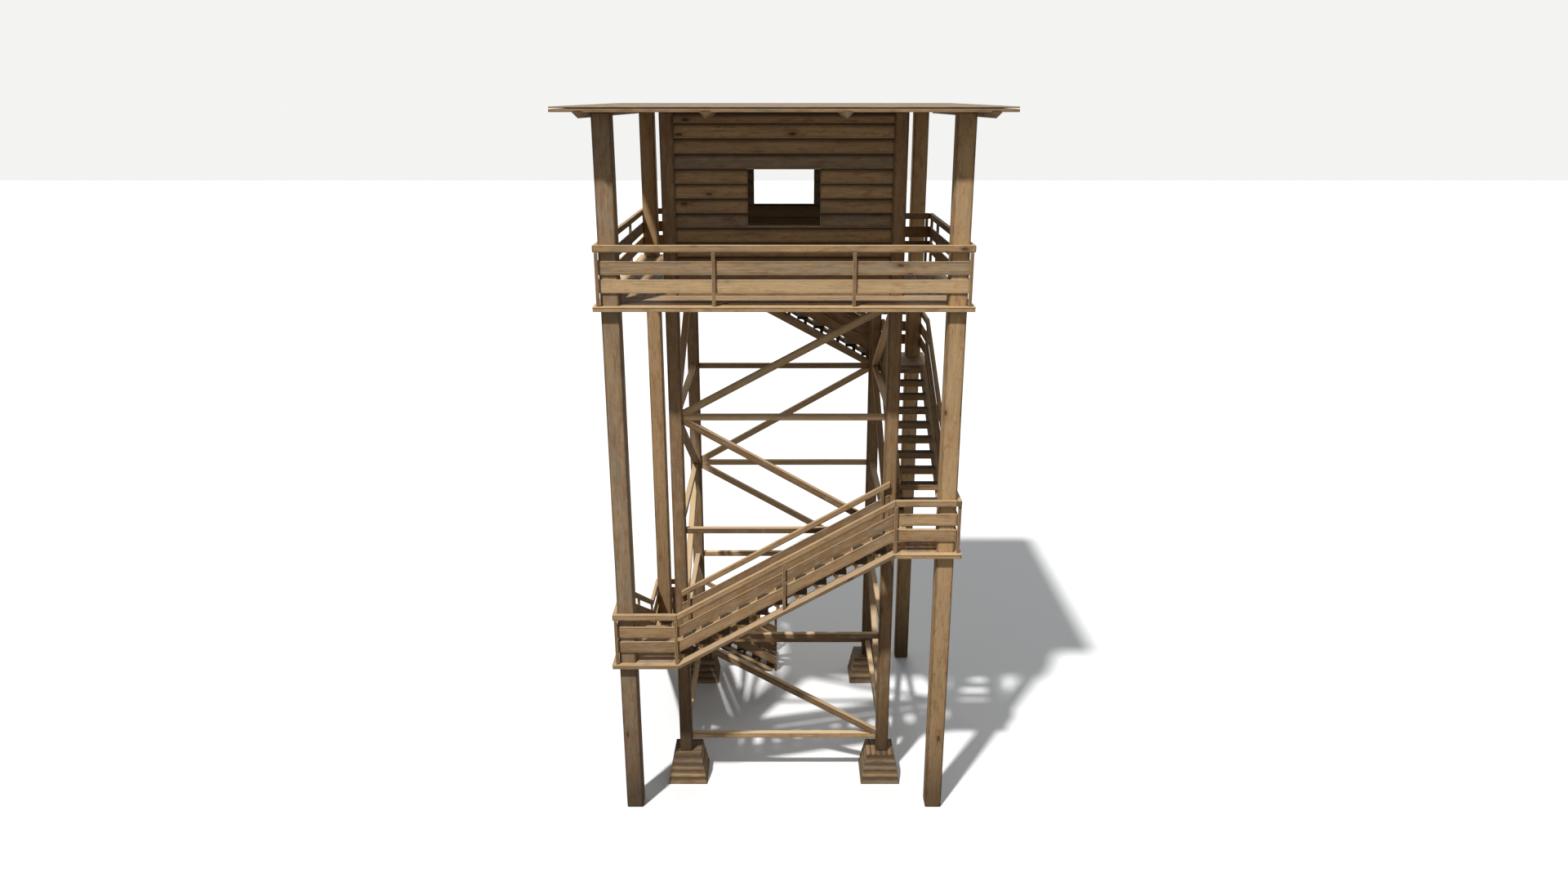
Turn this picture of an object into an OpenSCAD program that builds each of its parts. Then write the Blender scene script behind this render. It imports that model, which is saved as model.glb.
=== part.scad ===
// Wooden watchtower: a square cabin on four braced legs, a gallery round it,
// and an open stair that winds up between the legs and four outer posts.
// Millimetres, +Z up, origin on the ground in the middle of the tower.
// The front is the -Y side. The stair rises from the back, by the left side.

/* [Posts and legs] */
// Width over the outer posts
tower_w = 5500; // [5300:10:6000]
// Side of a square outer post
post_w = 280; // [220:5:320]
// Width of the gallery and stair, from a leg's outer face to a post's
walk_w = 868; // [820:2:960]
// Side of a square inner leg
leg_w = 215; // [180:5:300]
// Chamfer on the corners of posts and legs
arris = 12; // [4:1:25]

/* [Footings] */
// Width of a footing on the ground
foot_w = 700; // [560:5:760]
// Width of a footing at its top
foot_top_w = 490; // [400:5:540]
// Height of a footing
foot_h = 555; // [350:5:600]
// How far the middle of a footing lies inside its leg's outer face
foot_in = 140; // [120:1:170]

/* [Levels] */
// Height of the first landing above the ground
first_level = 860; // [780:5:1000]
// Height from one landing to the next
level_step = 2005; // [1900:5:2100]
// Clear height of the cabin
cabin_h = 2775; // [2400:5:3000]
// Thickness of landings, strings and floors, boards and joists together
deck_t = 75; // [60:1:95]
// Thickness of the floor boards
floor_board_t = 28; // [22:1:40]
// Thickness of joists and of the rim round a floor
joist_t = 45; // [35:1:60]
// Greatest distance between joists
joist_pitch = 560; // [350:10:700]
// How far the floors stand out past the outer posts
deck_lip = 110; // [90:1:160]

/* [Bracing] */
// Depth and width of a tie between the legs
tie_w = 100; // [70:1:140]
// How far the middle of a tie lies below its landing
tie_drop = 20; // [0:1:60]
// Depth and width of a diagonal brace
brace_w = 110; // [70:1:140]

/* [Stair] */
// Risers in a full flight
risers = 11; // [9:1:12]
// How far a landing laps past the outer face of a leg
landing_lap = 122; // [80:1:180]
// Open space, seen from above, between a tread and the next nosing
tread_gap = 100; // [60:1:130]
// Height of the bevel where a tread's back edge beds on the strings
tread_bed = 3; // [1:0.5:8]
// Height of the board along a tread's front edge
nose_h = 95; // [75:1:130]
// Thickness of the board along a tread's front edge
nose_t = 30; // [20:1:45]
// Width of a string
string_w = 200; // [150:1:240]
// Length of a tread bearer along the string
bearer_l = 60; // [40:1:90]
// Width of a tread bearer across the string
bearer_w = 40; // [25:1:60]
// Space between a tread's end and the guard beside it
tread_clear = 50; // [20:1:80]

/* [Guards] */
// Height of a handrail above the floor or the line of nosings
rail_h = 910; // [850:5:1100]
// Depth of the handrail
cap_h = 110; // [60:1:130]
// Gap between the handrail and the upper board
cap_gap = 136; // [80:1:160]
// Height of a guard board
board_h = 200; // [120:1:220]
// Gap between the two guard boards
board_gap = 70; // [40:1:100]
// Thickness of a guard board
board_t = 24; // [18:1:34]
// Thickness of a rail post
rail_post_t = 50; // [35:1:60]
// Width of a rail post
rail_post_w = 50; // [35:1:70]
// Distance between the middle rail posts of the gallery
gallery_bay = 2090; // [1600:10:2600]

/* [Cabin] */
// Thickness of a cabin wall
wall_t = 100; // [60:1:140]
// How far the walls lie behind the outer faces of the legs
wall_back = 25; // [10:1:60]
// Width of a window
window_w = 1120; // [700:10:1600]
// Height of a window
window_h = 845; // [600:5:1000]
// Height of a window sill above the floor
sill_h = 1085; // [850:5:1200]
// Width of the doorway
door_w = 900; // [750:10:1100]
// Height of the doorway
door_h = 2030; // [1900:5:2150]

/* [Roof] */
// How far the roof stands out past the outer posts
eave = 490; // [400:5:700]
// Thickness of the roof at its front edge
roof_t = 75; // [50:1:110]
// How much thicker the roof is at the back, for its fall
roof_fall = 36; // [10:1:80]
// Half width of a V-shaped rafter where it meets the roof
rafter_half = 85; // [60:1:110]
// How far the left middle rafter lies in from the leg
rafter_in_left = 587; // [200:1:760]
// How far the right middle rafter lies in from the leg
rafter_in_right = 794; // [200:1:960]

/* [Hidden] */

// Clearance where two solids of one sub-part meet without touching
joint = 0.3;
// Levels of the gallery floor, the underside of the roof, and the landings
gallery_level = 4;
deck_z = level(gallery_level);
roof_z = deck_z + cabin_h;
// Half widths, measured from the middle of the tower
post_face = tower_w / 2;
core_face = post_face - walk_w;
core_inside = core_face - leg_w;
deck_half = post_face + deck_lip;
roof_half = post_face + eave;
landing_edge = core_face - landing_lap;
wall_face = core_face - wall_back;
// Stair sizes that follow from the levels and the landings
run = 2 * landing_edge;
going = run / risers;
rise = level_step / risers;
pitch = level_step / run;
tread_d = going - tread_gap;
tread_t = tread_gap * pitch + tread_bed;
rail_t = board_t + rail_post_t;
// Middle of the rail post that stands over a corner's board ends
corner_post = post_face + board_t;
tread_outer = post_face - tread_clear;
tread_inner = core_face + rail_t + tread_clear;
// Places of the two middle rafters, one each side of the front window
rafter_left = rafter_in_left - core_inside;
rafter_right = core_inside - rafter_in_right;
// Turns that carry the front side's pieces to the other sides
front = 0;
right = 90;
back = 180;
left = 270;

function level(i) = first_level + i * level_step;
// Height of a flight's walking line, which starts at the lower landing
function walk_z(base, x) = level(base) + (x + landing_edge) * pitch;
function nosing_x(step) = -landing_edge + (step - 1) * going;
// Top of the tie at each level; the highest lies under the gallery floor
function tie_top(i) = i < gallery_level ? level(i) - tie_drop + tie_w / 2 : deck_z - deck_t;

timber = "#9a7a55";
grey_timber = "#8b7358";
pale_board = "#a88a66";
dark_board = "#7c6246";

// A square upright with chamfered corners, standing on z0
module upright(side, z0, z1) {
  h = side / 2;
  c = h - arris;
  translate([0, 0, z0])
    linear_extrude(z1 - z0)
      polygon([[h, c], [c, h], [-c, h], [-h, c], [-h, -c], [-c, -h], [c, -h], [h, -c]]);
}

// An upright-plane plate of the given outline, from y = 0 outwards to y = -t
module plate(points, t) {
  rotate([90, 0, 0])
    linear_extrude(t)
      polygon(points);
}

// A member between two heights above a walking line z = line[0] + x * line[1]
module member(x0, x1, low, high, line, t) {
  z0 = line[0] + x0 * line[1];
  z1 = line[0] + x1 * line[1];
  plate([[x0, z0 + low], [x1, z1 + low], [x1, z1 + high], [x0, z0 + high]], t);
}

// A guard: handrail, two boards on the walking side, and posts outside them.
// The boards stop short of the handrail's start and end by the given lengths
module guard(x0, x1, line, posts, short0 = 0, short1 = 0) {
  under_cap = rail_h - cap_h;
  upper = under_cap - cap_gap;
  lower = upper - board_h - board_gap;
  member(x0, x1, under_cap, rail_h, line, rail_t);
  member(x0 + short0, x1 - short1, upper - board_h, upper, line, board_t);
  member(x0 + short0, x1 - short1, lower - board_h, lower, line, board_t);
  for (x = posts)
    translate([0, -board_t, 0])
      member(x - rail_post_w / 2, x + rail_post_w / 2, 0, under_cap, line, rail_post_t);
}

module above_ground() {
  intersection() {
    children();
    translate([-tower_w, -tower_w, 0])
      cube([2 * tower_w, 2 * tower_w, roof_z]);
  }
}

module footing() {
  outline = [[-foot_w / 2, 0], [foot_w / 2, 0], [foot_top_w / 2, foot_h], [-foot_top_w / 2, foot_h]];
  intersection() {
    translate([0, foot_w / 2, 0])
      plate(outline, foot_w);
    translate([-foot_w / 2, 0, 0])
      rotate([0, 0, 90])
        plate(outline, foot_w);
  }
}

module footings() {
  c = core_face - foot_in;
  color(grey_timber)
    for (x = [-c, c], y = [-c, c])
      translate([x, y, 0])
        footing();
}

module leg(side_x, side_y) {
  c = core_face - leg_w / 2;
  color(timber)
    translate([side_x * c, side_y * c, 0])
      upright(leg_w, foot_h, roof_z);
}

module post(side_x, side_y) {
  c = post_face - post_w / 2;
  color(timber)
    translate([side_x * c, side_y * c, 0])
      upright(post_w, 0, roof_z);
}

module leg_ties() {
  y = -core_face + leg_w / 2 - tie_w / 2;
  color(grey_timber)
    for (turn = [front, right, back, left], i = [0 : gallery_level])
      rotate([0, 0, turn])
        translate([-core_inside, y, tie_top(i) - tie_w])
          cube([2 * core_inside, tie_w, tie_w]);
}

// A diagonal from the low corner on the left to the high corner on the right
// of one bay, cut at both ends to seat on the leg and on the tie
module brace(bay) {
  low = tie_top(bay);
  high = tie_top(bay + 1) - tie_w;
  angle = atan2(high - low, 2 * core_inside);
  on_leg = brace_w / 2 / cos(angle);
  on_tie = brace_w / 2 / sin(angle);
  w = core_inside;
  translate([0, -core_face + leg_w / 2 + brace_w / 2, 0])
    plate([
      [-w, low], [-w + on_tie, low], [w, high - on_leg],
      [w, high], [w - on_tie, high], [-w, low + on_leg]
    ], brace_w);
}

// The braces zig-zag up each face; neighbouring faces start opposite ways
module leg_braces() {
  color(timber)
    for (turn = [front, right, back, left], bay = [0 : gallery_level - 1]) {
      faces_front = turn == front || turn == back;
      left_high = faces_front == (bay % 2 == 0);
      rotate([0, 0, turn])
        mirror([left_high ? 1 : 0, 0, 0])
          brace(bay);
    }
}

// Square cuts where four uprights of the given side pass a floor at z
module upright_notches(c, side, z) {
  for (x = [-c, c], y = [-c, c])
    translate([x - side / 2, y - side / 2, z - 2 * deck_t])
      cube([side, side, 3 * deck_t]);
}

// The bays under a floor, between its rim and the joists that cross it
module joist_bays(x0, y0, length, width, z) {
  bays = ceil((length - joist_t) / joist_pitch);
  step = (length - joist_t) / bays;
  for (i = [0 : bays - 1])
    translate([x0 + joist_t + i * step, y0 + joist_t, z - 2 * deck_t])
      cube([step - joist_t, width - 2 * joist_t, 2 * deck_t - floor_board_t]);
}

// A floor with its top at z: boards over joists that cross it the short way,
// inside a rim, and cut round the posts and legs that pass it
module floor_plate(x0, x1, y0, y1, z) {
  long_x = x1 - x0 >= y1 - y0;
  difference() {
    translate([x0, y0, z - deck_t])
      cube([x1 - x0, y1 - y0, deck_t]);
    if (long_x)
      joist_bays(x0, y0, x1 - x0, y1 - y0, z);
    else
      mirror([1, -1, 0])
        joist_bays(y0, x0, y1 - y0, x1 - x0, z);
    upright_notches(post_face - post_w / 2, post_w, z);
    upright_notches(core_face - leg_w / 2, leg_w, z);
  }
}

// The corner landing at the foot of the flight on one side
module landing(base, turn) {
  color(pale_board)
    rotate([0, 0, turn])
      floor_plate(-deck_half, -landing_edge, -deck_half, -landing_edge, level(base));
}

// One tread with a deeper board along its front edge. Its back edge is
// bevelled where it beds on the strings
module tread(base, step) {
  x = nosing_x(step);
  top = level(base) + step * rise;
  back_x = x + tread_d;
  translate([0, -tread_inner, 0])
    plate([
      [x, top - nose_h], [x + nose_t, top - nose_h], [x + nose_t, top - tread_t],
      [back_x - tread_bed / pitch, top - tread_t], [back_x, top - tread_t + tread_bed],
      [back_x, top], [x, top]
    ], tread_outer - tread_inner);
}

module treads(base, turn) {
  color(pale_board)
    rotate([0, 0, turn])
      for (step = [1 : risers])
        if (level(base) + step * rise > nose_h)
          tread(base, step);
}

// A string with a bearer for the front of each tread
module string_beam(base, y_out, bearer_y) {
  line = [walk_z(base, 0), pitch];
  translate([0, -y_out + string_w, 0])
    member(-landing_edge, landing_edge, -deck_t, 0, line, string_w);
  for (step = [1 : risers])
    translate([0, -bearer_y + bearer_w, 0]) {
      x = nosing_x(step) + nose_t;
      low = walk_z(base, x) - deck_t / 2;
      top = level(base) + step * rise - tread_t;
      if (top > 0)
        plate([[x, low], [x + bearer_l, low], [x + bearer_l, top], [x, top]], bearer_w);
    }
}

module strings(base, turn) {
  color(timber)
    rotate([0, 0, turn])
      above_ground() {
        string_beam(base, deck_half, tread_outer);
        string_beam(base, core_face + string_w, tread_inner + bearer_w);
      }
}

// Outer and inner guards of a flight, which start at x0
module flight_rails(base, turn, x0, posts) {
  line = [walk_z(base, 0), pitch];
  color(dark_board)
    rotate([0, 0, turn])
      above_ground()
        for (face = [post_face, core_face])
          translate([0, -face, 0])
            guard(x0, landing_edge, line, posts);
}

// The first flight starts at the nosing of the first tread above ground
ground_step = ceil((level(0) - level_step) / -rise + nose_h / rise);
ground_x = nosing_x(ground_step);

// The guard round a landing's two outer sides, which share the corner post
module landing_rail(base, turn) {
  line = [level(base), 0];
  end_post = landing_edge + rail_post_w / 2;
  color(dark_board)
    rotate([0, 0, turn]) {
      translate([0, -post_face, 0])
        guard(-post_face - rail_t, -landing_edge, line, [-corner_post, -end_post], rail_post_t);
      mirror([1, -1, 0])
        translate([0, -post_face, 0])
          guard(-post_face + joint, -landing_edge, line, [-end_post]);
    }
}

// Four floor strips round the cabin, from the back left corner by the front to
// the back right leg. The rest is open over the last flight and its landing
module gallery_deck() {
  edge = wall_face + joint;
  color(pale_board) {
    floor_plate(-deck_half, deck_half, -deck_half, -edge, deck_z);
    floor_plate(-deck_half, -edge, -edge + joint, core_face - joint, deck_z);
    floor_plate(edge, deck_half, -edge + joint, core_face - joint, deck_z);
    floor_plate(-deck_half, -landing_edge, core_face, deck_half, deck_z);
  }
}

module gallery_rail_front() {
  bay = gallery_bay / 2;
  color(dark_board)
    translate([0, -post_face, 0])
      guard(-post_face - rail_t, post_face + rail_t, [deck_z, 0],
            [-corner_post, -bay, bay, corner_post], rail_post_t, rail_post_t);
}

// The guard along one side, as far as x1, with posts at its end where no
// corner post stands
module gallery_rail_side(turn, x1, end_posts) {
  bay = gallery_bay / 2;
  color(dark_board)
    rotate([0, 0, turn])
      translate([0, -post_face, 0])
        guard(-post_face, x1, [deck_z, 0], concat([-bay, bay], end_posts));
}

// The guard behind the back left corner, where the last flight arrives
module gallery_rail_back() {
  end_post = landing_edge + rail_post_w / 2;
  color(dark_board)
    rotate([0, 0, back])
      translate([0, -post_face, 0])
        guard(landing_edge, post_face + rail_t, [deck_z, 0], [end_post, corner_post],
              0, rail_post_t);
}

// The guard across the right gallery where its floor ends, beside the leg
module stairwell_rail() {
  color(dark_board)
    rotate([0, 0, back])
      translate([0, -core_face + rail_t, 0])
        guard(-post_face + joint, -core_face - joint, [deck_z, 0],
              [-post_face + rail_post_w, -core_face - rail_post_w]);
}

module cabin_floor() {
  color(pale_board)
    floor_plate(-wall_face, wall_face, -wall_face, wall_face, deck_z);
}

// A cabin wall between two legs, with one opening, and cut over the rafters
module wall(turn, open_w, open_z, open_h, rafters) {
  color(dark_board)
    rotate([0, 0, turn])
      difference() {
        translate([-core_inside, -wall_face, deck_z])
          cube([2 * core_inside, wall_t, cabin_h]);
        translate([-open_w / 2, -wall_face - wall_t, deck_z + open_z])
          cube([open_w, 3 * wall_t, open_h]);
        for (x = rafters)
          rafter(x);
      }
}

module roof_deck() {
  color(pale_board)
    translate([-roof_half, 0, 0])
      rotate([90, 0, 90])
        linear_extrude(2 * roof_half)
          polygon([
            [-roof_half, roof_z], [roof_half, roof_z],
            [roof_half, roof_z + roof_t + roof_fall], [-roof_half, roof_z + roof_t]
          ]);
}

// A square timber laid on its arris, housed to half its depth in the roof
module rafter(x) {
  translate([x, roof_half, 0])
    plate([[-rafter_half, roof_z], [0, roof_z - rafter_half], [rafter_half, roof_z]],
          2 * roof_half);
}

module roof_rafters() {
  outer = post_face + rafter_half;
  color(timber)
    for (x = [-outer, rafter_left, rafter_right, outer + rafter_half])
      rafter(x);
}

footings();
leg(-1, -1);  // leg_front_left
leg(1, -1);  // leg_front_right
leg(-1, 1);  // leg_back_left
leg(1, 1);  // leg_back_right
post(-1, -1);  // post_front_left
post(1, -1);  // post_front_right
post(-1, 1);  // post_back_left
post(1, 1);  // post_back_right
leg_ties();
leg_braces();
landing(0, left);  // landing_back_left
landing(1, front);  // landing_front_left
landing(2, right);  // landing_front_right
landing(3, back);  // landing_back_right
treads(-1, back);  // treads_back_lower
treads(0, left);  // treads_left
treads(1, front);  // treads_front
treads(2, right);  // treads_right
treads(3, back);  // treads_back_upper
strings(-1, back);  // strings_back_lower
strings(0, left);  // strings_left
strings(1, front);  // strings_front
strings(2, right);  // strings_right
strings(3, back);  // strings_back_upper
flight_rails(-1, back, ground_x, [ground_x + rail_post_w / 2]);  // rails_back_lower
flight_rails(0, left, -landing_edge, [0]);  // rails_left
flight_rails(1, front, -landing_edge, [0]);  // rails_front
flight_rails(2, right, -landing_edge, [0]);  // rails_right
flight_rails(3, back, -landing_edge, [0]);  // rails_back_upper
landing_rail(0, left);  // landing_rail_back_left
landing_rail(1, front);  // landing_rail_front_left
landing_rail(2, right);  // landing_rail_front_right
landing_rail(3, back);  // landing_rail_back_right
gallery_deck();
gallery_rail_front();
gallery_rail_side(left, post_face, []);  // gallery_rail_left
gallery_rail_side(right, core_face, [core_face - rail_post_w / 2]);  // gallery_rail_right
gallery_rail_back();
stairwell_rail();
cabin_floor();
wall(front, window_w, sill_h, window_h, [rafter_left, rafter_right]);  // wall_front
wall(back, window_w, sill_h, window_h, [-rafter_left, -rafter_right]);  // wall_back
wall(left, door_w, 0, door_h, []);  // wall_left
wall(right, window_w, sill_h, window_h, []);  // wall_right
roof_deck();
roof_rafters();
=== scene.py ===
import math
import random

import bmesh
import bpy
from mathutils import Matrix, Vector, noise


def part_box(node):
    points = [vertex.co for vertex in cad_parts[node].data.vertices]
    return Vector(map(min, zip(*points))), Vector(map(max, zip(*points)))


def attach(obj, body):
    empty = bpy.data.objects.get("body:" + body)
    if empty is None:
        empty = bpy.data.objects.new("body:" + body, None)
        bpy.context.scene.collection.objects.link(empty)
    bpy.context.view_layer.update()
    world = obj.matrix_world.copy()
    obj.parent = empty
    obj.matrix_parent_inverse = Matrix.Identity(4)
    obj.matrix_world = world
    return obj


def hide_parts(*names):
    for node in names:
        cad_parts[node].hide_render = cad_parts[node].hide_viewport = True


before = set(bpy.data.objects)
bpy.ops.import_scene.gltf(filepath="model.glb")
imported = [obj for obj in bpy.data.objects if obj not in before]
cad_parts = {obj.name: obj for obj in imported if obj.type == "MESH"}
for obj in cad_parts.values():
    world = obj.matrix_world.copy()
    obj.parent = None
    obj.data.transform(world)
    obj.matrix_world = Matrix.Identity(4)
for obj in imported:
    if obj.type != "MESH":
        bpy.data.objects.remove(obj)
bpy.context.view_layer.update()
print("nodes in the frame:", len(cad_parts))
# %% [markdown]
# The camera stands a little above roof height and looks down by about 18 degrees,
# so the posts close in towards their feet. A wide lens close to the tower gives
# the strong narrowing downwards; a longer lens further back would lose it.
# %% Camera
CAMERA_PLACE = (0, -18.411, 11.800)
CAMERA_DOWN = 17.859
SENSOR_WIDTH, CAMERA_LENS = 36, 24.22
VIEW_END = 500


def link(name, data):
    """A new object of the scene that shows this mesh, lamp or camera."""
    made = bpy.data.objects.new(name, data)
    bpy.context.scene.collection.objects.link(made)
    return made


camera = link("camera", bpy.data.cameras.new("camera"))
camera.location = CAMERA_PLACE
camera.rotation_euler = (math.radians(90 - CAMERA_DOWN), 0, 0)
camera.data.sensor_width = SENSOR_WIDTH
camera.data.lens = CAMERA_LENS
camera.data.clip_end = VIEW_END
bpy.context.scene.camera = camera
bpy.context.scene.view_settings.view_transform = "Standard"
print("camera height:", CAMERA_PLACE[2])
# %% [markdown]
# All the wood on this tower is one idea seen many times, so its shader is built
# from sums and products of masks. Chains of Math nodes are hard to read, so a
# small class wraps a socket and lets Python's own operators add those nodes.
# Every other kind of node comes from its one method, node().
# %% Shader arithmetic
class Wire:
    """A shader socket that adds, subtracts and multiplies."""

    def __init__(self, tree, socket=None):
        self.tree = tree
        self.socket = socket

    def node(self, kind, settings, inputs, out=0):
        """One output of a new node, whose inputs are numbers, colours or wires."""
        made = self.tree.nodes.new("ShaderNode" + kind)
        for key, value in settings.items():
            setattr(made, key, value)
        for key, value in inputs.items():
            if isinstance(value, Wire):
                self.tree.links.new(value.socket, made.inputs[key])
            else:
                made.inputs[key].default_value = value
        return Wire(self.tree, made.outputs[out] if made.outputs else None)

    def math(self, operation, first, second=0.0):
        return self.node("Math", {"operation": operation}, {0: first, 1: second})

    def __add__(self, other):
        return self.math("ADD", self, other)

    def __sub__(self, other):
        return self.math("SUBTRACT", self, other)

    def __rsub__(self, other):
        return self.math("SUBTRACT", other, self)

    def __mul__(self, other):
        return self.math("MULTIPLY", self, other)

    __radd__ = __add__

    def step(self, zero, one):
        """0 up to the first value, 1 from the second on and smooth between them."""
        values = {"Value": self, "From Min": zero, "From Max": one}
        return self.node("MapRange", {"interpolation_type": "SMOOTHSTEP"}, values)

    def colours(self, first, second):
        """The first colour where this mask is 0 and the second where it is 1."""
        values = {0: self, 6: first, 7: second}
        return self.node("Mix", {"data_type": "RGBA"}, values, out=2)

    def parts(self):
        return [self.node("SeparateXYZ", {}, {0: self}, out=axis) for axis in range(3)]

    def stretched(self, along, across, through):
        """This position with its three directions scaled apart."""
        values = {0: self, 1: (along, across, through)}
        return self.node("VectorMath", {"operation": "MULTIPLY"}, values)

    def shifted(self, offset):
        return self.node("VectorMath", {"operation": "ADD"}, {0: self, 1: offset})

    def noise(self, detail=2.0, roughness=0.55):
        values = {"Vector": self, "Scale": 1.0, "Detail": detail, "Roughness": roughness}
        return self.node("TexNoise", {}, values)


def empty_tree(owner):
    """Clears the nodes of a material or world and gives a wire to start from."""
    owner.use_nodes = True
    owner.node_tree.nodes.clear()
    return Wire(owner.node_tree)


print("a wire adds, subtracts and multiplies")
# %% [markdown]
# Weathered softwood has growth rings that show as long streaks on a sawn face,
# knots that the grain bends round, fine fibres, grey and green patches where rain
# stands, and arrises rubbed pale with a soiled band beside them. Each timber
# carries its own position along, across and through the wood in an attribute, so
# the streaks follow a brace or a sloping rail as well as a post. Two more
# attributes hold its half sizes and its own lightness, greyness and seed.
# %% Colours of the wood
def paint(code):
    """A colour written as six hex digits, made linear for the shader."""
    parts = [int(code[i:i + 2], 16) / 255 for i in (0, 2, 4)]
    return (*[part / 12.92 if part < 0.04045 else ((part + 0.055) / 1.055) ** 2.4
              for part in parts], 1.0)


BROWN = paint("8a6c4b")
HONEY = paint("cda878")
GREY = paint("8f7f6c")
PALE_GREY = paint("ab9680")
RED_BROWN = paint("8d6040")
MOSS = paint("837a5c")
SOIL = paint("3a2b1c")
KNOT = paint("4d331e")
WORN = paint("d2b68e")
print("the wood's brown is", [round(part, 3) for part in BROWN[:3]])
# %% [markdown]
# Knots come from a Voronoi grid of cells stretched along the grain. About half of
# the cells, picked by their own random colour, hold a knot at their centre with a
# halo round it. Growth rings are circles round a heart that lies below the middle
# of the timber and wanders along it, so a face cuts them into long flames.
# %% Knots and growth rings
RING_WAVE = 560.0
HEART_DEPTH = 0.11


def knots(start, own):
    """A mask of the knots and a wider one of the halo round each."""
    grid = {"Vector": own.stretched(1.7, 4.2, 4.2), "Scale": 1.0, "Randomness": 0.9}
    distance = start.node("TexVoronoi", {}, grid)
    cell = start.node("TexVoronoi", {}, grid, out=1)
    has_knot = cell.parts()[0].step(0.50, 0.52)
    return distance.step(0.13, 0.07) * has_knot, distance.step(0.34, 0.08) * has_knot


def growth_rings(start, at, own, halo, streak):
    """A wave from 0 to 1 with each ring, pushed aside round a knot."""
    _, across, through = at.parts()
    place = own.stretched(0.7, 2.0, 2.0)
    wander = start.node("TexNoise", {}, {"Vector": place, "Scale": 1.0}, out=1)
    _, bend, sink = wander.parts()
    ring_y = across + (bend - 0.5) * 0.09
    ring_z = through + HEART_DEPTH + (sink - 0.5) * 0.06
    radius = start.math("SQRT", ring_y * ring_y + ring_z * ring_z)
    return start.math("SINE", (radius + halo * 0.012 + streak * 0.004) * RING_WAVE) * 0.5 + 0.5


print("a growth ring every", round(2 * math.pi / RING_WAVE * 1000), "mm")
# %% [markdown]
# A point close to two faces at once lies on an arris, which hands and weather rub
# pale, and dirt stays in a band beside it. A point closer to the end than to any
# side shows end grain. All of it follows from the timber's half sizes, so one rule
# serves posts and thin boards, and noise keeps the worn line from looking ruled.
# %% Worn arrises and end grain
END_GRAIN_DEPTH = 0.004


def edge_masks(start, at, half, own):
    """Masks of the end grain, the worn arrises and the soiled band beside them."""
    end_gap, side_gap, face_gap = [size - start.math("ABSOLUTE", place)
                                   for size, place in zip(half.parts(), at.parts())]
    near = start.math("MINIMUM", side_gap, face_gap)
    far = start.math("MAXIMUM", side_gap, face_gap)
    middle = start.math("MAXIMUM", near, start.math("MINIMUM", far, end_gap))
    reach = start.math("MINIMUM", near, END_GRAIN_DEPTH)
    end_grain = start.math("GREATER_THAN", reach, end_gap)
    uneven = own.stretched(6.0, 30.0, 30.0).noise(3.0)
    worn = (middle + uneven * 0.010 - 0.005).step(0.010, 0.002)
    soil = (middle - uneven * 0.040 + 0.012).step(0.030, 0.002)
    return end_grain, worn, soil


print("end grain reaches", END_GRAIN_DEPTH * 1000, "mm in")
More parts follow.
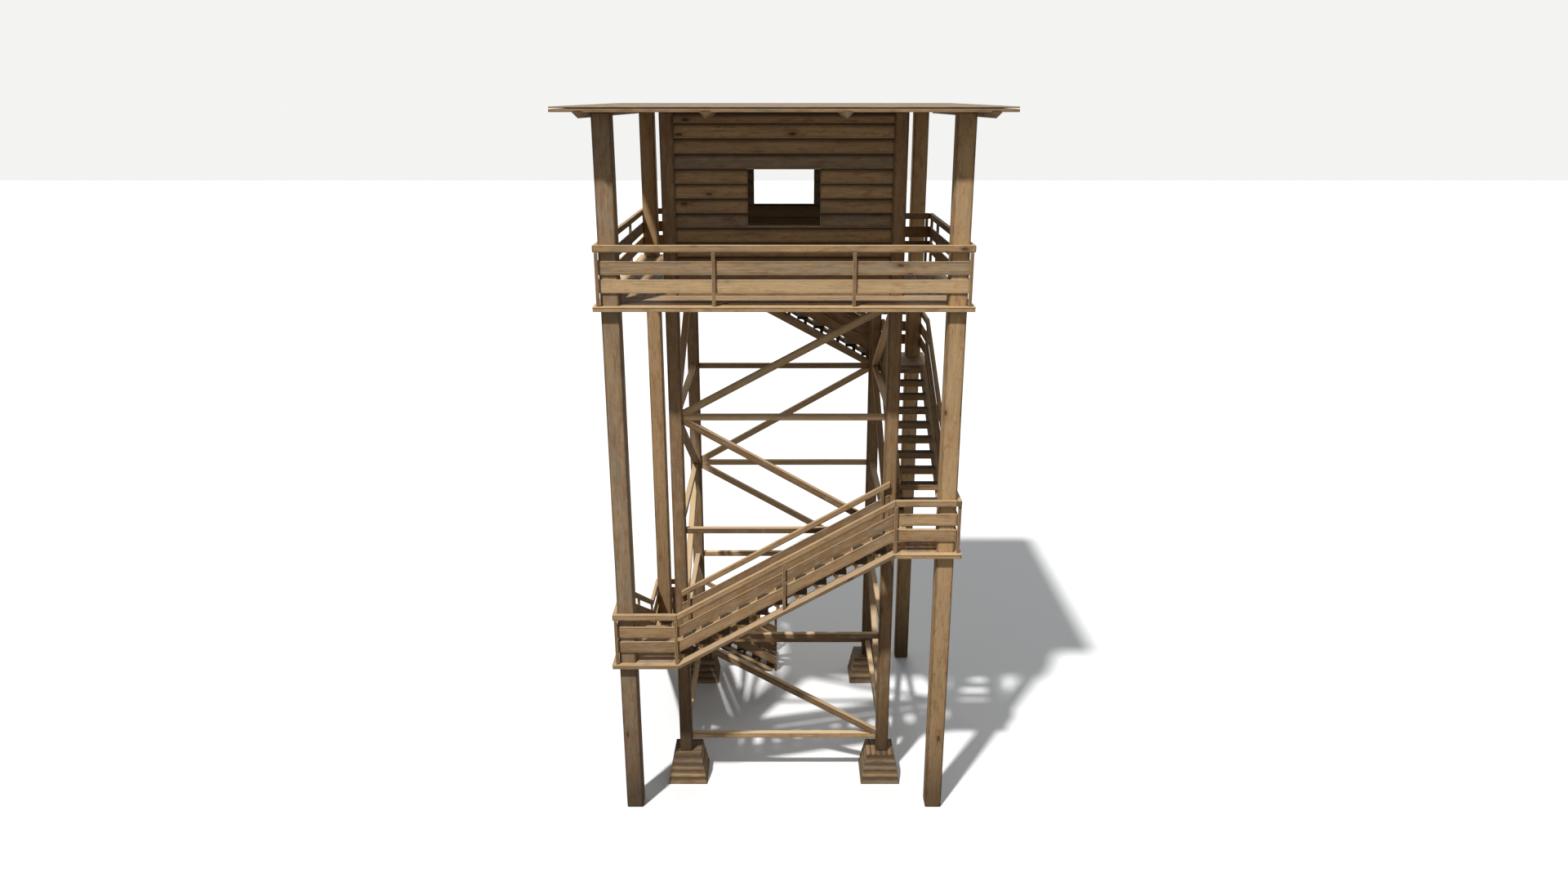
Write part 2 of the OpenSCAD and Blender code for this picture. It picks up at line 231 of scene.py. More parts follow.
# %% [markdown]
# The finish itself is a stack of thin colours, each laid over the last through its
# own mask, from the broad patches of weather down to the fibres and the dirt. A
# lightness above 1 makes fresh wood and one below 0 dirty wood, and some timbers use
# the first as painted light on faces in shade and the second as painted shade. Only
# some finishes have tops that the sun bleaches and that are also made paler as
# painted light from above, a painted shadow under a lap, or a darkening towards the
# foot of a post.
# %% Weathered wood
def weathered(name, lighter=0.0, soiled=0.5, under_lap_shade=0.0, foot_darkening=0.0, bleach_and_top_light=0.0):
    """The one wood finish, with how strong its dirt, its painted shadow under laps, its darkening
    towards the foot and its bleaching with painted top light are.
    """
    material = bpy.data.materials.new(name)
    start = empty_tree(material)
    at, half, tone = [start.node("Attribute", {"attribute_name": key}, {}, out=1)
                      for key in ("grain", "half", "tone")]
    own = at.shifted(tone.stretched(31.0, 17.0, 23.0))
    light, grey, _ = tone.parts()
    along, across, _ = at.parts()
    half_x, half_y, _ = half.parts()

    patch = own.stretched(0.9, 7.0, 7.0).noise(3.0)
    drift = own.stretched(1.6, 16.0, 16.0).noise(2.0)
    streak = own.stretched(2.5, 85.0, 85.0).noise(3.0, 0.6)
    fibre = own.stretched(9.0, 420.0, 420.0).noise(2.0, 0.6)
    blotch = own.stretched(4.5, 13.0, 13.0).noise(5.0, 0.70)
    knot, halo = knots(start, own)
    ring = growth_rings(start, at, own, halo, streak)
    end_grain, worn, soil = edge_masks(start, at, half, own)
    # Lightness above 1 lays pale fresh wood and below 0 dark dirty wood; some tones use these as
    # painted light and painted shade.
    fresh_and_painted_light = start.math("MAXIMUM", light - 1.0, 0.0)
    dirty_and_painted_shade = start.math("MAXIMUM", (0.0 - light) * (0.8 + streak * 0.4), 0.0)

    layers = [
        ((grey * 0.9 + (drift - 0.5) * 1.4 - 0.15).step(0.0, 1.0), GREY),
        (((patch - 0.56) * 3.0 * (1.0 - grey)).step(0.0, 1.0), RED_BROWN),
        (drift.step(0.60, 0.80) * 0.55, MOSS),
        (blotch.step(0.50, 0.64) * 0.50, PALE_GREY),
        (blotch.step(0.49, 0.36) * 0.45, RED_BROWN),
        (streak.step(0.45, 0.75) * 0.36, SOIL),
        (ring * (0.10 + halo * 0.30), SOIL),
        (fibre.step(0.50, 0.85) * 0.34, SOIL),
        (halo * 0.25, RED_BROWN),
        (knot * 0.85, KNOT),
        (soil * soiled * 0.75, SOIL),
        (worn * 0.55, WORN),
        (end_grain * (0.35 + ring * 0.30), SOIL),
        (fresh_and_painted_light * (1.0 - streak.step(0.45, 0.75) * 0.35 - ring * 0.12), WORN),
        (dirty_and_painted_shade, SOIL),
    ]
    # Upward faces turn paler: sun bleaching, and painted light from above.
    if bleach_and_top_light:
        facing = start.node("NewGeometry", {}, {}, out=1)
        bleach_and_top_light_mask = facing.parts()[2].step(0.35, 0.80)
        layers.append((bleach_and_top_light_mask * (1.15 - streak * 0.5) * bleach_and_top_light, WORN))
    # Painted shadow across the top of each board, where it runs under the lap of the one above.
    if under_lap_shade:
        under = (half_y - across + (patch - 0.5) * 0.03).step(0.115, 0.036)
        layers.append((under * (under_lap_shade - fresh_and_painted_light * 0.8), SOIL))
    # Darker towards the foot: strongly over the lowest 1.7 m, weakly up to 5.5 m.
    if foot_darkening:
        from_foot = along + half_x
        layers.append(((from_foot + (drift - 0.5) * 0.8).step(1.7, 0.0) * foot_darkening, SOIL))
        layers.append((from_foot.step(5.5, 0.5) * foot_darkening * 0.6, SOIL))
    body = (light * 1.1 + lighter - 0.05 + (patch - 0.5) * 0.9).colours(BROWN, HONEY)
    for mask, colour in layers:
        body = mask.colours(body, colour)

    relief = ring * 0.25 + streak * 0.8 + fibre * 0.5 - knot * 0.4
    bump = start.node("Bump", {}, {"Strength": 0.45, "Distance": 0.004, "Height": relief})
    shader = start.node("BsdfPrincipled", {}, {
        "Base Color": body, "Roughness": 0.72 + fibre * 0.2 - worn * 0.12, "Normal": bump,
        "Specular IOR Level": 0.2})
    start.node("OutputMaterial", {}, {0: shader})
    return material


# Posts darken towards the foot; framing, guards and strings get bleached tops with painted top light;
# walls and footings get a painted shadow under each lap.
POST_WOOD = weathered("post wood", lighter=-0.02, soiled=0.70, foot_darkening=0.60)
FRAME_WOOD = weathered("framing wood", lighter=0.02, soiled=0.45, bleach_and_top_light=0.75)
BOARD_WOOD = weathered("guard wood", lighter=0.02, soiled=0.50, bleach_and_top_light=0.35)
STRING_WOOD = weathered("string wood", lighter=0.05, soiled=0.35, bleach_and_top_light=0.55)
FLOOR_WOOD = weathered("floor wood", lighter=0.12, soiled=0.35)
ROOF_WOOD = weathered("roof wood", lighter=-0.15, soiled=0.50)
WALL_WOOD = weathered("wall wood", lighter=0.20, soiled=0.45, under_lap_shade=0.90)
FOOT_WOOD = weathered("footing wood", lighter=-0.15, soiled=0.80, under_lap_shade=0.70)
print("wood finishes:", len(bpy.data.materials))
# %% [markdown]
# Nail heads are iron that has begun to rust. From here each is a dark dot, so one
# mix of bare iron and rougher rust is enough.
# %% Nail iron
def iron():
    """Dark nail heads with rust in blotches."""
    material = bpy.data.materials.new("nail iron")
    start = empty_tree(material)
    at = start.node("TexCoord", {}, {}, out=3)
    rust = at.stretched(160.0, 160.0, 160.0).noise(2.0).step(0.40, 0.65)
    colour = rust.colours(paint("3b3836"), paint("5b3a24"))
    shader = start.node("BsdfPrincipled", {}, {
        "Base Color": colour, "Roughness": 0.5 + rust * 0.35, "Metallic": 0.7 - rust * 0.6})
    start.node("OutputMaterial", {}, {0: shader})
    return material


NAIL_IRON = iron()
print("iron:", NAIL_IRON.name)
# %% [markdown]
# No two timbers are alike: each has its own place in the noise, and most long ones
# aren't quite straight. Some ends meet a leg or a landing at a slant. So three
# helpers work on one timber's mesh while it still lies along the x axis: one marks
# its points for the shader, one bows it and one saws its ends off. Blender's noise
# starts from the clock unless it gets a seed, so both kinds of chance get one.
# %% Mark, bow and saw a timber
SEED = 11
BOW_RANGE = 90
BOW_PACE = 0.8
dice = random.Random(SEED)
noise.seed_set(SEED)


def mark(part, half, tone):
    """Writes where each point lies in its timber, for the wood's shader."""
    grain, size, shade = [part.verts.layers.float_vector.new(key)
                          for key in ("grain", "half", "tone")]
    light, grey = tone or (dice.random(), dice.random())
    own = Vector((light, grey, dice.random()))
    for v in part.verts:
        v[grain] = v.co
        v[size] = half
        v[shade] = own


def bow(part, sway):
    """Moves each cross-section sideways along smooth noise."""
    where = dice.random() * BOW_RANGE
    for v in part.verts:
        drift = noise.noise_vector(Vector((v.co.x * BOW_PACE, where, 3.0)))
        v.co.y += drift.y * sway
        v.co.z += drift.z * sway


def saw(part, home, cuts):
    """Cuts a timber off at planes, each a point and the direction that goes."""
    back = home.inverted()
    for point, normal in cuts:
        whole = part.verts[:] + part.edges[:] + part.faces[:]
        cut = bmesh.ops.bisect_plane(part, geom=whole, dist=1e-6, clear_outer=True,
                                     plane_co=back @ point, plane_no=back.to_3x3() @ normal)
        rim = [e for e in cut["geom_cut"] if isinstance(e, bmesh.types.BMEdge)]
        if rim:
            bmesh.ops.holes_fill(part, edges=rim, sides=0)


print("seed of the dice and the noise:", SEED)
# %% [markdown]
# A sawn timber is a box, but a plain box looks like plastic. So each one starts as
# a cube that is scaled, has its arrises eased with a bevel, and is cut along its
# length where it is long, so that it can bow. Hundreds of timbers share this
# maker, and one mesh collects all the timbers and nails of one piece.
# %% The timber maker
STATION = 0.9
BOARD_EASE = 0.003
ROUNDER_EASE, ROUNDEST_EASE = 0.008, 0.015
HEAD_DEPTH, HEAD_LIFT, HEAD_TAPER = 0.004, 0.0015, 0.55


class Stack:
    """Timbers and nails that become one piece of the tower."""

    def __init__(self):
        self.bm = bmesh.new()
        self.scratch = bpy.data.meshes.new("scratch")
        self.place = Matrix.Identity(4)

    def side(self, degrees):
        """What follows is drawn on the front side and turned to this side."""
        self.place = Matrix.Rotation(math.radians(degrees), 4, "Z")

    def timber(self, start, end, across, width, depth, ease=0.004, cuts=(), tone=None, sway=0.0015):
        """A timber from start to end, width along across and depth square to both."""
        along = end - start
        x = along.normalized()
        y = (across - across.dot(x) * x).normalized()
        z = x.cross(y)
        if depth > width:
            y, z, width, depth = z, -y, depth, width
        home = Matrix((x, y, z)).transposed().to_4x4()
        home.translation = (start + end) / 2
        part = bmesh.new()
        bmesh.ops.create_cube(part, size=1.0)
        bmesh.ops.scale(part, vec=(along.length, width, depth), verts=part.verts)
        rounds = 1 + (ease > ROUNDER_EASE) + (ease > ROUNDEST_EASE)
        bmesh.ops.bevel(part, geom=part.edges[:], offset=ease, offset_type="OFFSET",
                        segments=rounds, profile=0.5, affect="EDGES", material=-1)
        stations = int(along.length / STATION)
        if stations and sway:
            long = [e for e in part.edges
                    if abs(e.verts[0].co.x - e.verts[1].co.x) > along.length / 2]
            bmesh.ops.subdivide_edges(part, edges=long, cuts=stations)
        mark(part, Vector((along.length, width, depth)) / 2, tone)
        bow(part, sway)
        saw(part, home, cuts)
        bmesh.ops.transform(part, matrix=self.place @ home, verts=part.verts)
        part.to_mesh(self.scratch)
        part.free()
        self.bm.from_mesh(self.scratch)

    def bar(self, least, most, grain, **finish):
        """A timber that fills the box between two corners, with its grain along an axis."""
        least, most = Vector(least), Vector(most)
        middle, size = (least + most) / 2, most - least
        axis = "xyz".index(grain)
        start, end = middle.copy(), middle.copy()
        start[axis], end[axis] = least[axis], most[axis]
        other = (axis + 1) % 3
        across = Vector((other == 0, other == 1, other == 2))
        self.timber(start, end, across, size[other], size[(axis + 2) % 3], **finish)

    def nail(self, at, out, radius=0.006):
        """A domed head that stands on the wood at a point and faces out."""
        out = Vector(out)
        spin = Vector((0, 0, 1)).rotation_difference(out).to_matrix().to_4x4()
        home = self.place @ (Matrix.Translation(Vector(at) + out * HEAD_LIFT) @ spin)
        head = bmesh.ops.create_cone(self.bm, cap_ends=True, segments=6, radius1=radius,
                                     radius2=radius * HEAD_TAPER, depth=HEAD_DEPTH, matrix=home)
        for face in {face for v in head["verts"] for face in v.link_faces}:
            face.material_index = 1

    def finish(self, node, slot, wood, rounded=False):
        """Makes the piece, lets it stand for its node and prints its size."""
        mesh = bpy.data.meshes.new(node + "_timber")
        bmesh.ops.recalc_face_normals(self.bm, faces=self.bm.faces[:])
        self.bm.to_mesh(mesh)
        self.bm.free()
        if rounded:
            mesh.shade_smooth()
        bpy.data.meshes.remove(self.scratch)
        mesh.materials.append(wood)
        mesh.materials.append(NAIL_IRON)
        piece = link(node + "_timber", mesh)
        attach(piece, "root")
        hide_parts(node)
        mesh.calc_loop_triangles()
        print(node, len(mesh.loop_triangles), "triangles")


print("a timber is cut about every", STATION, "m")
# %% [markdown]
# The main places aren't set by eye: the frame's own boxes say where the posts, legs,
# floors and landings are, and the levels of the stair follow from the landings.
# %% Sizes from the frame
FRONT, RIGHT, BACK, LEFT = 0, 90, 180, 270
UP, OUT, ALONG = Vector((0, 0, 1)), Vector((0, 1, 0)), Vector((1, 0, 0))
ORIGIN = Vector((0, 0, 0))
CLEARANCE = 0.001


def low(node):
    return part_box(node)[0]


def high(node):
    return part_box(node)[1]


post_face, post_back = high("post_front_right").x, low("post_front_right").x
leg_face, leg_back = high("leg_front_right").x, low("leg_front_right").x
roof_under = high("post_front_right").z
foot_top = low("leg_front_right").z
gallery = high("gallery_deck").z
floor_depth = gallery - low("gallery_deck").z
deck_edge = high("gallery_deck").x
landing_edge = -high("landing_front_left").x
first_level = high("landing_back_left").z
level_step = high("landing_front_left").z - first_level
run = 2 * landing_edge
RISERS = 11
going, rise, pitch = run / RISERS, level_step / RISERS, level_step / run
print("levels every", round(level_step, 3), "m; rise", round(rise, 3), "going", round(going, 3))


# %% Points on the stair
def level(i):
    return first_level + i * level_step


def walk_line(base):
    """Height at x = 0 and slope of the line on which a flight's nosings lie."""
    return level(base) + landing_edge * pitch, pitch


def nosing(step):
    return -landing_edge + (step - 1) * going


FLIGHTS = (("back_lower", -1, BACK), ("left", 0, LEFT), ("front", 1, FRONT),
           ("right", 2, RIGHT), ("back_upper", 3, BACK))
LANDINGS = (("back_left", 0, LEFT), ("front_left", 1, FRONT),
            ("front_right", 2, RIGHT), ("back_right", 3, BACK))
print("flights:", [name for name, _, _ in FLIGHTS])
# %% [markdown]
# The outer posts and the inner legs are single square timbers. They carry the look
# of the whole tower, so their lightness and greyness are chosen one by one: the
# left ones are darker than the right ones, and the back right post is lighter as
# painted light on a face that lies in shade. They are shaded smooth, so a face
# darkens away from the sun as a timber with rounded arrises does.
# %% Posts and legs
UPRIGHT_EASE = 0.022
UPRIGHT_SWAY = 0.003
UPRIGHTS = {
    "post_front_left": (0.42, 0.70), "post_front_right": (0.80, 0.05),
    "post_back_left": (0.60, 0.10), "post_back_right": (1.10, 0.20),
    "leg_front_left": (0.20, 0.30), "leg_front_right": (0.25, 0.20),
    "leg_back_left": (0.20, 0.55), "leg_back_right": (0.25, 0.40),
}
for node, tone in UPRIGHTS.items():
    upright = Stack()
    upright.bar(low(node), high(node), "z", ease=UPRIGHT_EASE, tone=tone, sway=UPRIGHT_SWAY)
    upright.finish(node, "posts" if node.startswith("post") else "legs", POST_WOOD, rounded=True)
# %% [markdown]
# Ties run level from leg to leg, and a brace climbs each bay between two ties. A
# brace meets the leg and the tie in one corner, so it is made too long on its
# slant and sawn off by both faces, as a carpenter would cut it.
# %% Ties
TIE = 0.100
TIE_DROP = 0.020
TIE_EASE = 0.016
TIE_LEVELS = 5
# The fourth tie and the third back tie are made light as painted light, though they lie in the
# gallery's shadow; the second and third ties are made dark as painted shade.
TIE_TONES_WITH_PAINTED_LIGHT = ((0.85, 0.20), (-0.15, 0.35), (-0.35, 0.25), (1.4, 0.25), (0.40, 0.30))
BACK_TIE_TONES_WITH_PAINTED_LIGHT = ((0.10, 0.40), (0.85, 0.30), (1.7, 0.30), (0.30, 0.35), (0.40, 0.30))
leg_middle = (leg_face + leg_back) / 2


def tie_top(i):
    """The top of a tie set just below a landing's level, or under the gallery floor."""
    return level(i) - TIE_DROP + TIE / 2 if i < TIE_LEVELS - 1 else gallery - floor_depth


ties = Stack()
for turn in (FRONT, RIGHT, BACK, LEFT):
    ties.side(turn)
    for i in range(TIE_LEVELS):
        tone = (BACK_TIE_TONES_WITH_PAINTED_LIGHT if turn == BACK else TIE_TONES_WITH_PAINTED_LIGHT)[i]
        ties.bar((-leg_back, -leg_middle - TIE / 2, tie_top(i) - TIE),
                 (leg_back, -leg_middle + TIE / 2, tie_top(i)), "x", ease=TIE_EASE, tone=tone)
ties.finish("leg_ties", "bracing", FRAME_WOOD)
# %% Braces
BRACE = 0.110
BRACE_EASE = 0.010
SPARE = 0.3
# Painted light: the top front brace and the two middle back braces are made light, though they lie in
# the gallery's shadow.
BRACE_TONES_WITH_PAINTED_LIGHT = ((-0.10, 0.30), (0.45, 0.30), (-0.05, 0.25), (1.40, 0.20))
BACK_BRACE_TONES_WITH_PAINTED_LIGHT = ((0.50, 0.25), (1.55, 0.25), (1.65, 0.30), (0.60, 0.30))


def brace(stack, bay, left_high, tone):
    """One diagonal of a face, from corner to corner of its bay."""
    way = -1 if left_high else 1
    foot = Vector((-way * leg_back, -leg_middle, tie_top(bay)))
    head = Vector((way * leg_back, -leg_middle, tie_top(bay + 1) - TIE))
    slant = (head - foot).normalized() * SPARE
    cuts = [(foot, -way * ALONG), (foot, -UP), (head, way * ALONG), (head, UP)]
    stack.timber(foot - slant, head + slant, OUT, BRACE, BRACE, ease=BRACE_EASE, cuts=cuts,
                 tone=tone)


braces = Stack()
for turn in (FRONT, RIGHT, BACK, LEFT):
    braces.side(turn)
    for bay in range(TIE_LEVELS - 1):
        brace(braces, bay, (turn in (FRONT, BACK)) == (bay % 2 == 0),
              (BACK_BRACE_TONES_WITH_PAINTED_LIGHT if turn == BACK else BRACE_TONES_WITH_PAINTED_LIGHT)[bay])
braces.finish("leg_braces", "bracing", FRAME_WOOD)
# %% [markdown]
# Each leg stands on a footing clad with four courses of boards on every face, and
# a top of flat boards. A course leans back with the taper and its foot stands a
# little proud of the course below, which draws the dark lines between them, and
# the finish paints more shadow under each lap. The corners are mitred by sawing
# each board on the footing's two diagonal planes.
# %% Footings
FOOT_HALF, FOOT_TOP_HALF = 0.350, 0.245
FOOT_BOARD = 0.025
COURSES = 4
COURSE_GAP = 0.003
PROUD = 0.006
SET_BACK = (0.001, 0.003)
TOP_BOARDS = 5
HALF_GAP = 0.002
MITRES = [(ORIGIN, Vector((1, 1, 0)).normalized()), (ORIGIN, Vector((-1, 1, 0)).normalized())]
GROUND_CUT = (ORIGIN, -UP)
foot_middle = high("footings").x - FOOT_HALF


def footing_face(stack):
    """Four leaning courses on the front face of a footing."""
    lean = Vector((0, FOOT_HALF - FOOT_TOP_HALF, foot_top)).normalized()
    inward = Vector((0, lean.z, -lean.y))
    clad = foot_top - FOOT_BOARD
    for course in range(COURSES):
        z = course * clad / COURSES
        width = clad / COURSES / lean.z - COURSE_GAP
        foot = Vector((0, -FOOT_HALF, 0)) + lean * (z / lean.z) + inward * (FOOT_BOARD / 2)
        middle = foot + lean * (width / 2) + inward * SET_BACK[course % 2]
        tilt = (lean + inward * (PROUD / width)).normalized()
        reach = ALONG * FOOT_HALF
        cuts = MITRES + [GROUND_CUT] if course == 0 else MITRES
        stack.timber(middle - reach, middle + reach, tilt, width, FOOT_BOARD, ease=BOARD_EASE,
                     cuts=cuts, sway=0)


footings = Stack()
for corner in (FRONT, RIGHT, BACK, LEFT):
    footings.side(corner)
    home = footings.place @ Matrix.Translation((foot_middle, foot_middle, 0))
    for turn in (FRONT, RIGHT, BACK, LEFT):
        footings.place = home @ Matrix.Rotation(math.radians(turn), 4, "Z")
        footing_face(footings)
    footings.place = home
    board = 2 * FOOT_TOP_HALF / TOP_BOARDS
    for i in range(TOP_BOARDS):
        y = -FOOT_TOP_HALF + i * board
        footings.bar((-FOOT_TOP_HALF, y + HALF_GAP, foot_top - FOOT_BOARD),
                     (FOOT_TOP_HALF, y + board - HALF_GAP, foot_top), "x", ease=BOARD_EASE, sway=0)
footings.finish("footings", "footing_boards", FOOT_WOOD)
# %% [markdown]
# A floor is boards laid over joists. Round the open edges runs a margin board that
# stands out a little over its fascia, so rain drips clear and a line of shadow
# lies along the joint. The rows of boards take their edges from the uprights that
# pass through, so each row runs either clear of a post or up to it, and no board
# has to be notched.
# %% Rows of boards
BOARD_WIDTH = 0.150
LEAST_ROW = 0.03
LEAST_RUN = 0.02
UPRIGHT_SPANS = [(post_back, post_face), (-post_face, -post_back),
                 (leg_back, leg_face), (-leg_face, -leg_back)]


def rows(y0, y1):
    """Edges of the board rows between y0 and y1, with one at each upright's face."""
    inner = [edge for span in UPRIGHT_SPANS for edge in span
             if y0 + LEAST_ROW < edge < y1 - LEAST_ROW]
    edges = sorted({y0, y1, *inner})
    found = []
    for a, b in zip(edges, edges[1:]):
        count = max(1, round((b - a) / BOARD_WIDTH))
        found += [(a + (b - a) * k / count, a + (b - a) * (k + 1) / count) for k in range(count)]
    return found


def runs(x0, x1, y0, y1):
    """The stretches of one row that lie clear of the uprights."""
    middle = (y0 + y1) / 2
    pieces = [(x0, x1)]
    for ya, yb in UPRIGHT_SPANS:
        if not ya < middle < yb:
            continue
        for xa, xb in UPRIGHT_SPANS:
            if (xa, xb) in ((ya, yb), (-yb, -ya)):
                pieces = [bit for a, b in pieces for bit in ((a, min(b, xa)), (max(a, xb), b))
                          if bit[1] - bit[0] > LEAST_RUN]
    return pieces


print("rows on a landing:", len(rows(-deck_edge, -landing_edge)))
# %% Edge a floor
FASCIA = 0.030
POST_CLEAR = 0.005
MARGIN = deck_edge - post_face - POST_CLEAR
MARGIN_THICK = 0.015
GROOVE = 0.002
LIP = 0.006
EDGE_TONES = ((0.95, 0.20), (1.30, 0.05))


def edging(box, area, edges, lip, depth, foot, head, tone):
    """Members inside the named edges of an area, and the area that they leave."""
    outer, inner = [[place + sign * inset if side in edges else place
                     for side, place, sign in zip(("x0", "x1", "y0", "y1"), area, (1, -1, 1, -1))]
                    for inset in (lip, depth)]
    x0, x1, y0, y1 = outer
    a, b, c, d = inner
    for side, ya, yb in (("y0", y0, c), ("y1", d, y1)):
        if side in edges:
            box((x0, ya, foot), (x1, yb, head), "x", tone=tone, sway=0)
    for side, xa, xb in (("x0", x0, a), ("x1", b, x1)):
        if side in edges:
            box((xa, c, foot), (xb, d, head), "y", tone=tone, sway=0)
    return inner


print("a margin board is", round(MARGIN, 3), "m wide")
# %% Lay a floor
FLOOR_BOARD = 0.028
FLOOR_GAP = 0.005
JOIST = 0.045
JOIST_PITCH = 0.56
MOST_SLIP = 0.0012
SMALL_NAIL = 0.005
NAIL_INSET = 0.03
NAILED_WIDTH = 0.08


def floor(stack, x0, x1, y0, y1, z, edges, swap=False, tones=EDGE_TONES):
    """Boards along x with joists below them; edges names the sides with a fascia."""
    turn = Matrix(((0, 1, 0, 0), (1, 0, 0, 0), (0, 0, 1, 0), (0, 0, 0, 1)))

    def box(least, most, grain, **finish):
        if swap:
            least, most = turn @ Vector(least), turn @ Vector(most)
            grain = {"x": "y", "y": "x"}[grain]
        stack.bar(least, most, grain, **finish)

    under = z - floor_depth
    area = (x0, x1, y0, y1)
    edging(box, area, edges, LIP, LIP + FASCIA, under, z - MARGIN_THICK - GROOVE, tones[0])
    a, b, c, d = edging(box, area, edges, 0, MARGIN, z - MARGIN_THICK, z, tones[1])
    count = math.ceil((b - a) / JOIST_PITCH)
    joists = [a + JOIST / 2 + (b - a - JOIST) * k / count for k in range(count + 1)]
    for x in joists:
        box((x - JOIST / 2, y0 + FASCIA + LIP, under),
            (x + JOIST / 2, y1 - FASCIA - LIP, z - FLOOR_BOARD - CLEARANCE), "y", sway=0)
    for ya, yb in rows(c, d):
        for xa, xb in runs(a, b, ya, yb):
            slip = dice.uniform(0, MOST_SLIP)
            box((xa + HALF_GAP, ya + FLOOR_GAP / 2, z - FLOOR_BOARD - slip),
                (xb - HALF_GAP, yb - FLOOR_GAP / 2, z - slip), "x", ease=BOARD_EASE, sway=0.001)
            for x in joists:
                for y in (ya + NAIL_INSET, yb - NAIL_INSET):
                    if xa < x < xb and yb - ya > NAILED_WIDTH:
                        at = (y, x, z - slip) if swap else (x, y, z - slip)
                        stack.nail(at, UP, radius=SMALL_NAIL)


print("floor boards are", FLOOR_BOARD, "m thick")
# %% Landings
GREYER = ((0.15, 0.40), (0.75, 0.40))
for name, base, turn in LANDINGS:
    landing = Stack()
    landing.side(turn)
    floor(landing, -deck_edge, -landing_edge, -deck_edge, -landing_edge, level(base),
          ("x0", "y0", "x1", "y1"), tones=EDGE_TONES if base > 1 else GREYER)
    landing.finish("landing_" + name, "floor_boards", FLOOR_WOOD)
# %% Gallery and cabin floor
wall_face = -low("wall_front").y
deck = Stack()
floor(deck, -deck_edge, deck_edge, -deck_edge, -wall_face, gallery, ("x0", "x1", "y0"))
floor(deck, -wall_face, leg_face, -deck_edge, -wall_face, gallery, ("y0",), swap=True)
floor(deck, -wall_face, leg_face, wall_face, deck_edge, gallery, ("y1",), swap=True)
floor(deck, -deck_edge, -landing_edge, leg_face, deck_edge, gallery, ("x0", "x1", "y1"))
deck.finish("gallery_deck", "floor_boards", FLOOR_WOOD)
room = Stack()
floor(room, -wall_face, wall_face, -wall_face, wall_face, gallery, ())
room.finish("cabin_floor", "floor_boards", FLOOR_WOOD)
# %% [markdown]
# Each flight has two strings: broad planks laid to the slope, with their ends cut
# plumb where they meet the landings. Small bearers stand on them and carry the
# front of every tread; the back of a tread is bevelled and beds on the strings.
# %% A member laid to the slope
def sloped(stack, x0, x1, under, over, y0, y1, line, ground=False, **finish):
    """A plank from x0 to x1 whose lower and upper faces lie so far from the line."""
    start = Vector((x0, (y0 + y1) / 2, line[0] + x0 * line[1] + (under + over) / 2))
    end = Vector((x1, (y0 + y1) / 2, line[0] + x1 * line[1] + (under + over) / 2))
    slant = (end - start).normalized()
    reach = slant * (SPARE if line[1] else 0.0)
    cuts = [(start, -ALONG), (end, ALONG)] if line[1] else []
    if ground:
        cuts.append(GROUND_CUT)
    stack.timber(start - reach, end + reach, OUT, y1 - y0, (over - under) * slant.x,
                 cuts=cuts, **finish)


print("slope of the stair:", round(math.degrees(math.atan(pitch)), 1), "degrees")
# %% Strings and bearers
STRING_WIDTH = 0.200
STRING_EASE = 0.008
BEARER_LENGTH, BEARER_WIDTH = 0.060, 0.040
LEAST_BEARER_TOP = 0.01
TREAD_GAP = 0.100
TREAD_BED = 0.003
TREAD = TREAD_GAP * pitch + TREAD_BED
NOSE_HEIGHT, NOSE_THICK = 0.095, 0.030
TREAD_CLEAR = 0.050
RAIL_DEPTH = 0.074
OUTER_TONES = ((-0.12, 0.55), (0.9, 0.1))
# The inner string and its bearers are made dark as painted shade, so the stair seen through the
# guards looks shaded.
INNER_SHADE_TONES = ((-0.30, 0.40), (-0.70, 0.30))
tread_outer = post_face - TREAD_CLEAR
tread_inner = leg_face + RAIL_DEPTH + TREAD_CLEAR


def string(stack, base, y_out, bearer_y, tone, bearer_tone):
    """One string of a flight with a bearer under the front of each tread."""
    line = walk_line(base)
    sloped(stack, -landing_edge, landing_edge, -floor_depth, 0, -y_out, -y_out + STRING_WIDTH,
           line, ground=base < 0, ease=STRING_EASE, tone=tone)
    for step in range(1, RISERS + 1):
        x = nosing(step) + NOSE_THICK
        top = level(base) + step * rise - TREAD
        foot = max(0.0, line[0] + x * line[1] - floor_depth / 2)
        if top > LEAST_BEARER_TOP:
            stack.bar((x, -bearer_y, foot), (x + BEARER_LENGTH, -bearer_y + BEARER_WIDTH, top),
                      "z", ease=BOARD_EASE, tone=bearer_tone, sway=0)


for name, base, turn in FLIGHTS:
    strings = Stack()
    strings.side(turn)
    string(strings, base, deck_edge, tread_outer, *OUTER_TONES)
    string(strings, base, leg_face + STRING_WIDTH, tread_inner + BEARER_WIDTH, *INNER_SHADE_TONES)
    strings.finish("strings_" + name, "strings", STRING_WOOD)
# %% Treads
# Painted shade and light: the tread planks are made near black so the stair seen through the guards
# looks shaded, and the nose boards are made light for faces that lie in shade.
TREAD_SHADE_TONE, NOSE_LIGHT_TONE = (-0.90, 0.4), (0.75, 0.30)
NOSE_EASE = 0.006
TREAD_NAILS = (0.015, 0.060)
TREAD_NAIL_INSET = 0.02


